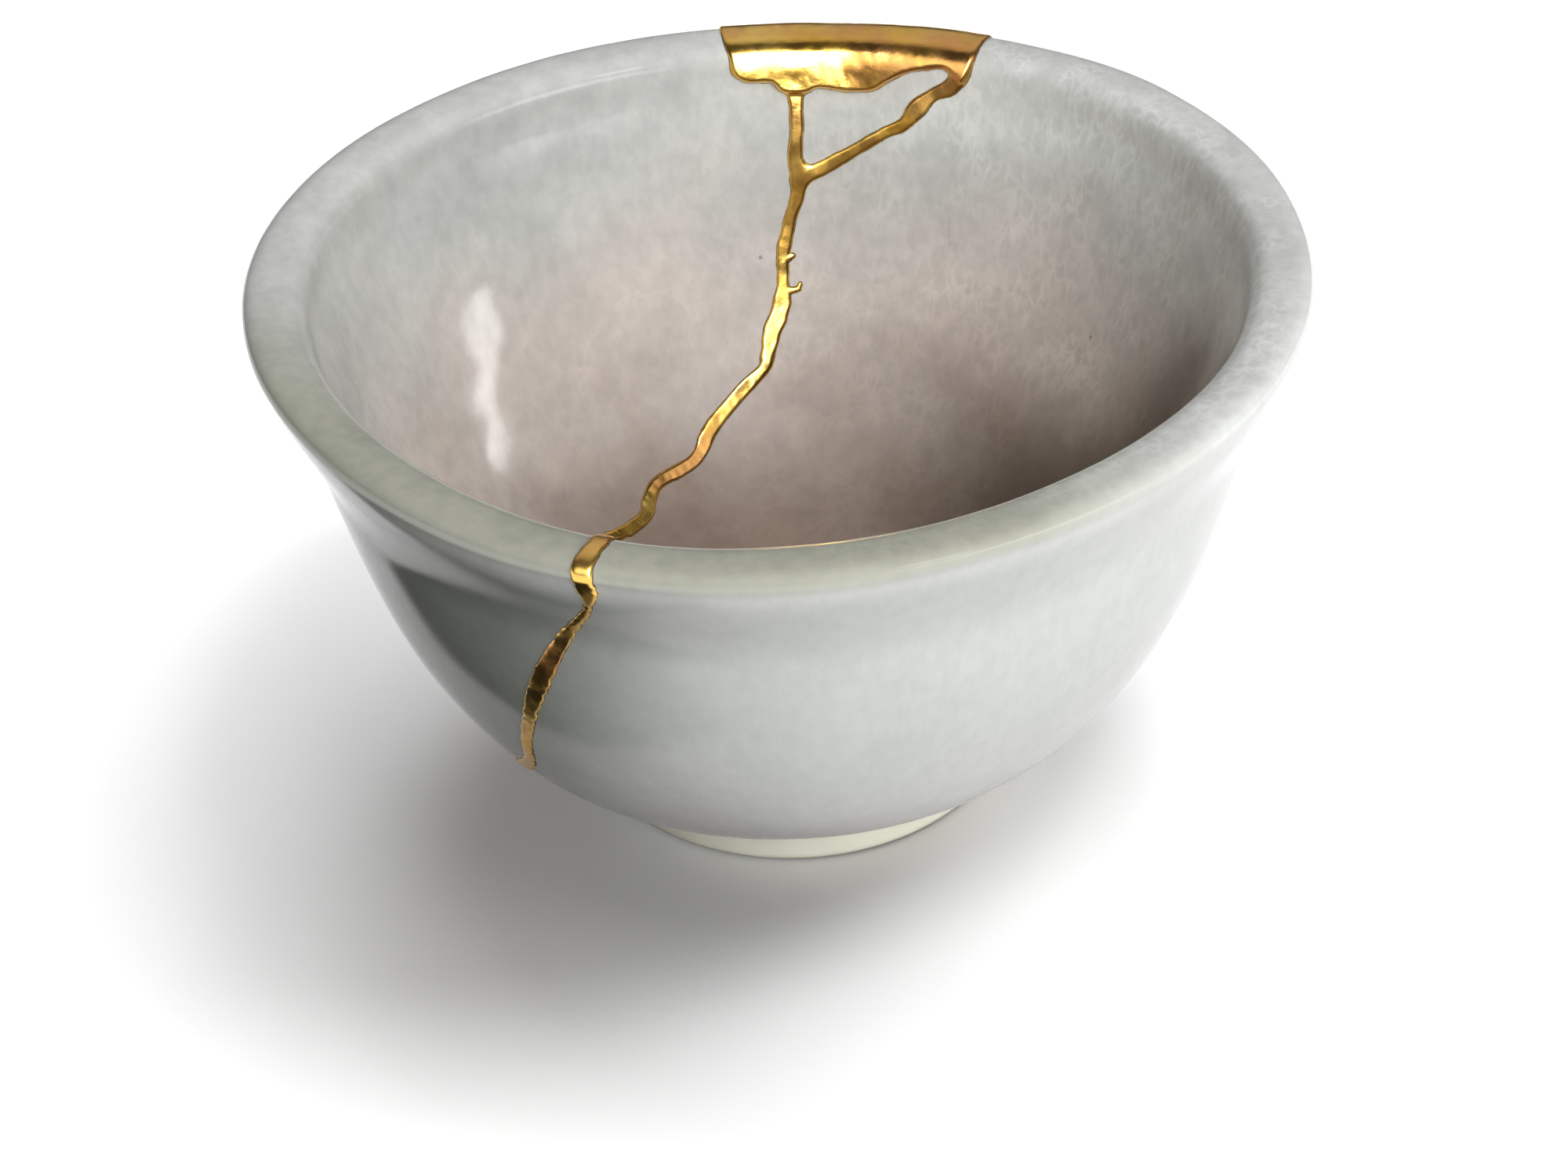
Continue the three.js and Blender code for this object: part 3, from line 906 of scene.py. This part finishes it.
CRACKLE_CELLS = (620, 620, 300)
CRACKLE_DRIFT_CELLS = (800, 800, 420)
CRACKLE_DRIFT = (1.1, 1.1, 1.1)  # in cells
CRACKLE_WIDTH = (0.26, 0.0)
CRACKLE_X = (-20 * MM, 40 * MM, 0.25, 1.0)
CRACKLE_REACH = (-1 * MM, 3 * MM, 0.1, 1.0)
CRACKLE_TONE = (0.98, 0.16)  # tone beside a line, and added on it
CRACKLE_ROUGHNESS = 0.05
CRACKLE_DEPTH = 0.0015 * MM

SPECK_CELLS = 95.0
SPECK_SIZE = (0.035, 0.02)
SPECK_CHOICE = (0.6, 0.7)
SPECK_STRENGTH = 0.5
DRY_LEVEL = (44 * MM, 22 * MM, 0.0, 0.35)
DRY_X = (-33 * MM, -22 * MM)


class GlazeMap:
    """Where the glaze is on the bowl: the values that its colours follow, in its node tree."""

    def __init__(self, tree):
        self.place = node(tree, "SeparateXYZ", {0: on_object(tree)}).outputs
        self.x = self.place["X"]
        self.reach = node(tree, "Attribute", attribute_name="lip_reach").outputs["Fac"]
        self.inside = fade(tree, self.reach, *INSIDE_REACH)
        self.outside = sums(tree, "SUBTRACT", 1.0, self.inside)
        self.level = sums(tree, "ADD", self.place["Z"], clouds(tree, *LEVEL_DRIFT))
        self.crest = fade(tree, sums(tree, "ABSOLUTE", self.reach), *CREST_REACH)


def glaze_color(tree, at):
    """The glaze's colours, from the plain grey-green to the tint of the near lip, with a painted shadow and
    painted shade among them.
    """
    right_back = level_distance(tree, at.place, *TO_RIGHT_BACK)
    right = level_distance(tree, at.place, *TO_RIGHT)
    front = level_distance(tree, at.place, *TO_FRONT)
    zones = (
        (GLAZE_PINK, at.inside, fade(tree, at.level, *PINK_LEVEL)),
        (GLAZE_BROWN, at.inside, fade(tree, at.level, *BROWN_LEVEL)),
        # Painted shadow, low inside at the near right.
        (GLAZE_PAINTED_SHADOW, at.inside, fade(tree, right_back, *PAINTED_SHADOW_RIGHT_BACK), fade(tree, at.x, *PAINTED_SHADOW_X),
         fade(tree, at.level, *PAINTED_SHADOW_LEVEL)),
        (GLAZE_BLUSH, at.outside, fade(tree, at.level, *BLUSH_LEVEL)),
        # Painted shade, outside on the left.
        (GLAZE_PAINTED_SHADE, fade(tree, at.reach, *PAINTED_SHADE_REACH), fade(tree, right, *PAINTED_SHADE_TO_RIGHT),
         fade(tree, at.level, *PAINTED_SHADE_LEVEL)),
        (GLAZE_CREST, at.crest),
        (GLAZE_LIP, fade(tree, at.reach, *LIP_TINT_OUTSIDE), fade(tree, at.reach, *LIP_TINT_INSIDE),
         fade(tree, front, *LIP_TINT_FRONT)),
    )
    color = blend(tree, at.inside, GLAZE_OUTSIDE, GLAZE_INSIDE)
    for zone, *shares in zones:
        color = blend(tree, times(tree, *shares), color, zone)
    return color


def painted_side_shade(tree, at):
    """Painted shade and light: darker towards the left and lighter towards the right, and high inside
    lighter on the right and darker on the left. The crest keeps its own tone.
    """
    high = times(tree, fade(tree, at.level, *PAINTED_SHADING_HIGH_LEVEL), fade(tree, at.x, *PAINTED_SHADING_HIGH_X))
    inside = times(
        tree, fade(tree, at.x, *PAINTED_SHADE_LEFT_X), fade(tree, at.x, *PAINTED_LIGHT_RIGHT_X), sums(tree, "ADD", 1.0, high),
    )
    tone = mixed(tree, at.inside, fade(tree, at.x, *PAINTED_SHADE_OUTSIDE_X), inside)
    return mixed(tree, at.crest, tone, 1.0)


def mottling(tree, at):
    """Fine upright flecks, and cloudy patches that are stronger inside."""
    fleck = noise(tree, on_object(tree, FLECK_CELLS), detail=3.0, roughness=0.6)["Fac"]
    uneven = sums(tree, "ADD", clouds(tree, *BROAD_MOTTLE), clouds(tree, *FINE_MOTTLE))
    mottled = times(tree, uneven, fade(tree, at.inside, *MOTTLE_INSIDE))
    return times(tree, fade(tree, fleck, *NOISE_RANGE, *FLECK_TONE), sums(tree, "ADD", 1.0, mottled))


def crazing(tree, at):
    """The glaze's crackle: fine upright lines, strongest inside towards the right."""
    drift = noise(tree, on_object(tree, CRACKLE_DRIFT_CELLS), detail=1.0)["Color"]
    drifted = vectors(tree, "MULTIPLY_ADD", drift, CRACKLE_DRIFT, on_object(tree, CRACKLE_CELLS))
    line = fade(tree, cell_net(tree, drifted, 1.0, "DISTANCE_TO_EDGE")["Distance"], *CRACKLE_WIDTH)
    return times(
        tree, line, clouds(tree, *CRACKLE_PATCHES), fade(tree, at.x, *CRACKLE_X),
        fade(tree, at.reach, *CRACKLE_REACH),
    )


def specks(tree):
    """Iron specks, one in some of the cells of a net."""
    spots = cell_net(tree, on_object(tree), SPECK_CELLS)
    chosen = node(tree, "SeparateColor", {0: spots["Color"]}).outputs[0]
    return times(
        tree, fade(tree, spots["Distance"], *SPECK_SIZE), fade(tree, chosen, *SPECK_CHOICE), SPECK_STRENGTH,
    )


def glazed():
    """Celadon glaze: grey-green above, flushed pink and brown where it lies thick inside, crackled, with
    shade painted in: a near-black shadow low inside at the near right, a dark patch outside on the left,
    and darker towards the left, lighter towards the right.
    """
    material, tree, shader = new_material("celadon_glaze")
    at = GlazeMap(tree)
    crazed = crazing(tree, at)
    beside_a_line, on_a_line = CRACKLE_TONE
    crackle_tone = sums(tree, "ADD", beside_a_line, times(tree, crazed, on_a_line))
    tone = times(tree, painted_side_shade(tree, at), mottling(tree, at), crackle_tone)
    color = blend(tree, 1.0, glaze_color(tree, at), grey(tree, tone), "MULTIPLY")
    color = blend(tree, specks(tree), color, IRON_SPECK)
    dry = times(tree, at.inside, fade(tree, at.level, *DRY_LEVEL), fade(tree, at.x, *DRY_X))
    roughness = sums(tree, "ADD", clouds(tree, *GLAZE_ROUGHNESS), times(tree, crazed, CRACKLE_ROUGHNESS))
    roughness = sums(tree, "ADD", roughness, dry)
    height = sums(tree, "SUBTRACT", pits(tree, *GLAZE_PITS), times(tree, crazed, CRACKLE_DEPTH))
    finish(tree, shader, color, roughness, raised(tree, height), IOR=1.5)
    return material


FOOT_CREAM = (0.80, 0.785, 0.66, 1)
FOOT_SHADE = (0.74, 0.725, 0.60, 1)
CLAY_PATCHES = (4 * MM, 0.0, 0.7, 2.0)
CLAY_ROUGHNESS = (3 * MM, 0.5, 0.65)
CLAY_PITS = (0.5 * MM, 0.03 * MM)


def bare_foot():
    """Cream clay, left bare where the bowl stood in the kiln."""
    material, tree, shader = new_material("foot_clay")
    color = blend(tree, clouds(tree, *CLAY_PATCHES), FOOT_CREAM, FOOT_SHADE)
    height = pits(tree, *CLAY_PITS)
    finish(tree, shader, color, clouds(tree, *CLAY_ROUGHNESS), raised(tree, height), IOR=1.45)
    return material


GOLD_OCHRE = (0.80, 0.45, 0.07, 1)
GOLD_PALE = (0.88, 0.56, 0.14, 1)
GOLD_COPPER = (0.72, 0.34, 0.12, 1)
LACQUER_BROWN = (0.045, 0.02, 0.006, 1)
PALE_PATCHES = (7 * MM, 0.0, 1.0, 4.0)
COPPER_PATCHES = (9 * MM, -0.6, 0.8, 6.0)
DUST_DRIFT = (1.6 * MM, -0.07 * MM, 0.07 * MM, 1.0)
DUST_DEPTH = (0.03 * MM, 0.14 * MM)  # in from the lacquer's edge, between which the gold dust comes in
GOLD_ROUGHNESS = (3 * MM, 0.15, 0.3, 8.0)
GOLD_PITS = (0.35 * MM, 0.008 * MM)
GOLD_DENTS = (1.6 * MM, 0.03 * MM)


def gilded():
    """Gold dust on lacquer, with the brown lacquer bare along its edge."""
    material, tree, shader = new_material("gold_on_lacquer")
    depth = node(tree, "Attribute", attribute_name="gold_depth").outputs["Fac"]
    color = blend(tree, clouds(tree, *PALE_PATCHES), GOLD_OCHRE, GOLD_PALE)
    color = blend(tree, clouds(tree, *COPPER_PATCHES), color, GOLD_COPPER)
    dusted = fade(tree, sums(tree, "ADD", depth, clouds(tree, *DUST_DRIFT)), *DUST_DEPTH)
    color = blend(tree, dusted, LACQUER_BROWN, color)
    tree.links.new(dusted, shader.inputs["Metallic"])
    height = sums(tree, "ADD", pits(tree, *GOLD_PITS), pits(tree, *GOLD_DENTS))
    finish(tree, shader, color, clouds(tree, *GOLD_ROUGHNESS), raised(tree, height))
    return material


# ---------------------------------------------------------------- floor, camera and light
PAPER_SEEN = 0.93
PAPER_BOUNCE = 0.12
PAPER_TONE = (60 * MM, PAPER_SEEN - 0.01, PAPER_SEEN + 0.01)
SHEET_ROUGHNESS = (20 * MM, 0.8, 0.9)
SHEET_GRAIN = (0.6 * MM, 0.01 * MM)
FLOOR_HALF = 4.0  # metres


def matt(tree, shader, color):
    """The dull face of the studio's paper and card."""
    grain = raised(tree, pits(tree, *SHEET_GRAIN))
    finish(tree, shader, color, clouds(tree, *SHEET_ROUGHNESS), grain)


def sheet(name, left, right, front, back, height, material):
    """A level sheet in the studio."""
    corners = [(left, front, height), (right, front, height), (right, back, height), (left, back, height)]
    mesh = bpy.data.meshes.new(name)
    mesh.from_pydata(corners, [], [(0, 1, 2, 3)])
    mesh.materials.append(material)
    made = bpy.data.objects.new(name, mesh)
    bpy.context.scene.collection.objects.link(made)
    return made


def make_floor():
    """A sheet of pale paper. It throws less light back at the bowl than the eye sees on it."""
    material, tree, shader = new_material("white_paper")
    bounced = node(tree, "LightPath").outputs["Is Diffuse Ray"]
    darker = times(tree, bounced, PAPER_BOUNCE - PAPER_SEEN)
    matt(tree, shader, grey(tree, sums(tree, "ADD", clouds(tree, *PAPER_TONE), darker)))
    floor = sheet("studio_floor", -FLOOR_HALF, FLOOR_HALF, -FLOOR_HALF, FLOOR_HALF, 0, material)
    return floor


VIEW_TARGET = Vector((-0.78, 0, 20.6)) * MM
VIEW_DISTANCE = 350 * MM
VIEW_ELEVATION = math.radians(37.11)
VIEW_ROLL = math.radians(-2.59)
LENS = 65.8  # mm
SENSOR_WIDTH = 36  # mm
NEAREST_SEEN = 0.01


def set_camera():
    """The camera, a little rolled, looking down at the bowl."""
    data = bpy.data.cameras.new("camera")
    data.lens = LENS
    data.sensor_width = SENSOR_WIDTH
    data.clip_start = NEAREST_SEEN
    camera = bpy.data.objects.new("camera", data)
    bpy.context.scene.collection.objects.link(camera)
    turn = Matrix.Rotation(math.pi / 2 - VIEW_ELEVATION, 4, "X") @ Matrix.Rotation(VIEW_ROLL, 4, "Z")
    back = turn @ Vector((0, 0, 1))
    camera.matrix_world = Matrix.Translation(VIEW_TARGET + back * VIEW_DISTANCE) @ turn
    bpy.context.scene.camera = camera


LIGHT_AIM = Vector((0, 0, 35)) * MM


def soften_edges(light):
    """Lets a soft box's face fade from its middle to its edges."""
    light.use_nodes = True
    tree = light.node_tree
    emission = next(n for n in tree.nodes if n.type == "EMISSION")
    face = node(tree, "SeparateXYZ", {0: node(tree, "NewGeometry").outputs["Parametric"]}).outputs
    across = times(tree, face[0], sums(tree, "SUBTRACT", 1.0, face[0]), 4.0)
    along = times(tree, face[1], sums(tree, "SUBTRACT", 1.0, face[1]), 4.0)
    tree.links.new(times(tree, across, along), emission.inputs["Strength"])


def soft_box(
    name, azimuth, elevation, distance, width, height, radiance, lit, mirrored=True, crisp=False,
):
    """A soft box, placed by its direction from the bowl. Radiance is how bright its face's middle is."""
    data = bpy.data.lights.new(name, "AREA")
    data.shape = "RECTANGLE"
    data.size, data.size_y = width, height
    data.energy = radiance * math.pi * width * height
    if not crisp:
        soften_edges(data)
    light = bpy.data.objects.new(name, data)
    light.visible_camera = False
    light.visible_glossy = mirrored
    light.light_linking.receiver_collection = lit
    bpy.context.scene.collection.objects.link(light)
    a, e = math.radians(azimuth), math.radians(elevation)
    way = Vector((math.cos(a) * math.cos(e), math.sin(a) * math.cos(e), math.sin(e)))
    light.location = LIGHT_AIM + way * distance
    light.rotation_euler = way.to_track_quat("Z", "Y").to_euler()
    return light


ROOM_AMBIENT = 0.09


def light_the_room():
    """A dim room, and a plain white one for the camera."""
    world = bpy.data.worlds.new("studio")
    bpy.context.scene.world = world
    world.use_nodes = True
    tree = world.node_tree
    tree.nodes.clear()
    seen = node(tree, "LightPath").outputs["Is Camera Ray"]
    room = node(tree, "Background", {"Strength": mixed(tree, seen, ROOM_AMBIENT, 1.0)})
    output = node(tree, "OutputWorld")
    tree.links.new(room.outputs[0], output.inputs["Surface"])


def lit_group(name, *things):
    """A group of things that lights of their own shine on."""
    group = bpy.data.collections.new(name)
    for thing in things:
        group.objects.link(thing)
    return group


GLINT_WIDTH = 3.4 * MM
GLINT_HEIGHT = 16.5 * MM
GLINT_PLACE = Vector((10, 34.2, 37.3)) * MM
GLINT_TOP = Vector((0, -5, 12.3)).normalized()
GLINT_FACING = Vector((1, 0, 0))
GLINT_RADIANCE = 7.5


def glint(lit):
    """The long glint on the left wall inside: a thin upright card that only its mirror image shows."""
    light = soft_box("glint_card", 0, 0, 0, GLINT_WIDTH, GLINT_HEIGHT, GLINT_RADIANCE, lit, crisp=True)
    light.visible_diffuse = False
    light.location = GLINT_PLACE
    turn = Matrix((GLINT_TOP.cross(GLINT_FACING), GLINT_TOP, GLINT_FACING)).transposed()
    light.rotation_euler = turn.to_euler()


# Soft boxes: (name, what it lights, azimuth, elevation, width, height, radiance, mirrored, crisp).
SOFT_BOX_DISTANCE = 0.9
SOFT_BOXES = (
    ("front_window", "bowl", -60, 34, 1.3, 0.95, 5.3, False, False),
    ("low_window", "bowl", -42, 9, 1.1, 0.34, 3.6, True, False),
    ("low_front", "bowl", -84, 17, 0.7, 0.4, 1.6, False, False),
    ("top_panel", "bowl", -115, 68, 0.7, 0.6, 1.8, False, False),
    ("back_panel", "bowl", 85, 36, 1.2, 0.7, 1.9, False, False),
    ("lip_window", "bowl", -54, 34, 0.16, 0.2, 3.5, True, True),
    ("gold_window", "gold", -92, 31, 0.4, 1.0, 13.0, True, True),
    ("gold_front", "gold", -60, 50, 1.3, 0.8, 1.2, True, False),
    ("gold_left", "gold", -125, 30, 0.7, 0.9, 1.7, True, False),
    ("gold_back", "gold", 90, 42, 1.6, 1.0, 0.6, True, False),
)
# Panels over the paper: (azimuth, elevation, width, radiance).
PANEL_DISTANCE = 3.0
PANEL_HEIGHT = 1.0
PAPER_PANELS = (
    (0, 70, 1.0, 9.8), (120, 70, 1.0, 6.4), (60, 70, 1.0, 3.8), (-60, 70, 1.0, 4.0),
    (0, 48, 1.13, 9.8), (90, 48, 1.13, 5.0), (42, 26, 2.7, 4.0), (212, 26, 2.7, 4.2),
)


# The painted shadow card: its colours, its sheet, and where it fades.
CARD_BLACK = (0.02, 0.02, 0.02, 1)
CARD_DARK = (0.03, 0.03, 0.03, 1)
CARD_SHEET = (-170 * MM, 30 * MM, -150 * MM, 60 * MM)  # left, right, front and back
CARD_HEIGHT = 0.3 * MM
CARD_AWAY = (-0.742, -0.67)  # level direction from the bowl to the patch
CARD_ALONG = (0.67, -0.742)  # the same, across it
CARD_PATCHES = (30 * MM, 0.0, 1.0)
CARD_NEAR_EDGE = (57 * MM, 64 * MM)
CARD_FAR_EDGE = (130 * MM, 95 * MM)
CARD_LEFT_EDGE = (-90 * MM, -55 * MM)
CARD_RIGHT_EDGE = (60 * MM, 25 * MM)


def painted_shadow_card():
    """A painted shadow: a dark patch on the floor at the front left, fading at its edges, which only mirror
    images show. It darkens what the glaze and gold mirror there, where the floor lies in shade.
    """
    material, tree, shader = new_material("painted_shadow_black")
    place = node(tree, "SeparateXYZ", {0: on_object(tree)}).outputs
    away = level_distance(tree, place, *CARD_AWAY)
    along = level_distance(tree, place, *CARD_ALONG)
    cover = times(
        tree, fade(tree, away, *CARD_NEAR_EDGE), fade(tree, away, *CARD_FAR_EDGE),
        fade(tree, along, *CARD_LEFT_EDGE), fade(tree, along, *CARD_RIGHT_EDGE),
    )
    tree.links.new(cover, shader.inputs["Alpha"])
    matt(tree, shader, blend(tree, clouds(tree, *CARD_PATCHES), CARD_BLACK, CARD_DARK))
    card = sheet("painted_shadow_card", *CARD_SHEET, CARD_HEIGHT, material)
    card.visible_camera = False
    card.visible_diffuse = False
    card.visible_shadow = False
    card.visible_transmission = False


def light_the_set(pieces, mend, floor):
    """Soft light on the bowl from the front right, and on the paper from the right and above."""
    bpy.context.scene.view_settings.view_transform = "Standard"
    light_the_room()
    groups = {"bowl": lit_group("lit_bowl", *pieces)}
    paper = lit_group("lit_paper", floor)
    groups["gold"] = lit_group("lit_gold", mend)
    for name, lit, azimuth, elevation, width, height, radiance, mirrored, crisp in SOFT_BOXES:
        soft_box(
            name, azimuth, elevation, SOFT_BOX_DISTANCE, width, height, radiance, groups[lit],
            mirrored=mirrored, crisp=crisp,
        )
    for azimuth, elevation, width, radiance in PAPER_PANELS:
        soft_box(
            f"paper_panel_{azimuth}_{elevation}", azimuth, elevation, PANEL_DISTANCE, width, PANEL_HEIGHT,
            radiance, paper, crisp=True,
        )
    painted_shadow_card()
    left_sherd = pieces[1]
    glint(lit_group("lit_left_wall", left_sherd))


wall = Wall()
sherds = make_sherds(wall, glazed(), bare_foot())
mend = make_gold(wall, gilded())
floor = make_floor()
set_camera()
light_the_set(sherds, mend, floor)
